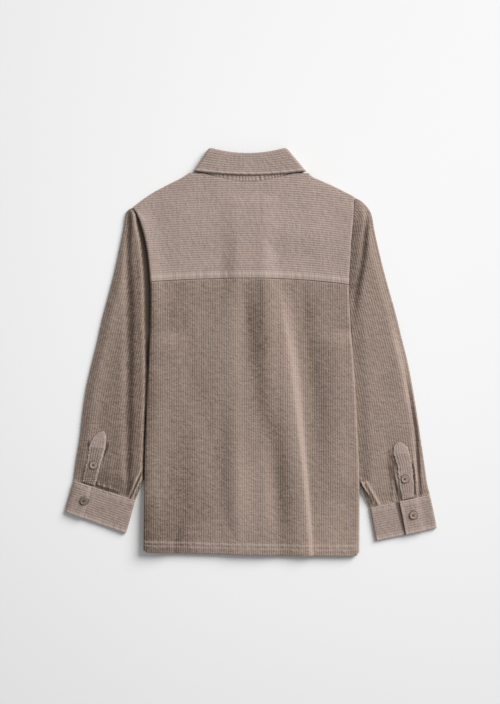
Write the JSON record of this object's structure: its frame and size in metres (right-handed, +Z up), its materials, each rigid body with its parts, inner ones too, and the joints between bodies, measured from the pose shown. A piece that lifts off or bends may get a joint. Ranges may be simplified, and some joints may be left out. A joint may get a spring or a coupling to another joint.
{
  "type": "shirt jacket",
  "caption": "Child's wide-wale corduroy shirt jacket laid flat on its front, back up, with yoke, folded collar, buttoned cuffs and sleeve plackets.",
  "frame": {"origin": "centre of the footprint on the surface that the garment lies on", "axes": "+Y up the garment to the collar, +X to its right side as seen from its back, +Z up out of the surface"},
  "size_m": [0.5751, 0.6308, 0.0125],
  "materials": {
    "corduroy_body": "wide-wale cotton corduroy, taupe, wales along the body",
    "corduroy_trim": "wide-wale cotton corduroy, taupe, wales across, paler by its nap",
    "button": "taupe resin, four holes, soft sheen"
  },
  "bodies": {
    "root": {"back": "corduroy_body", "yoke": "corduroy_trim", "front_left": "corduroy_body", "front_right": "corduroy_body", "front_placket": "corduroy_body", "sleeve_left": "corduroy_body", "sleeve_right": "corduroy_body", "sleeve_placket_left": "corduroy_trim", "sleeve_placket_right": "corduroy_trim", "cuff_left": "corduroy_trim", "cuff_right": "corduroy_trim", "collar": "corduroy_trim", "collar_stand": "corduroy_trim", "placket_button_left": "button", "placket_button_right": "button", "cuff_button_left": "button", "cuff_button_right": "button", "front_button_1": "button", "front_button_2": "button", "front_button_3": "button", "front_button_4": "button", "front_button_5": "button", "front_button_6": "button"}
  },
  "joints": []
}
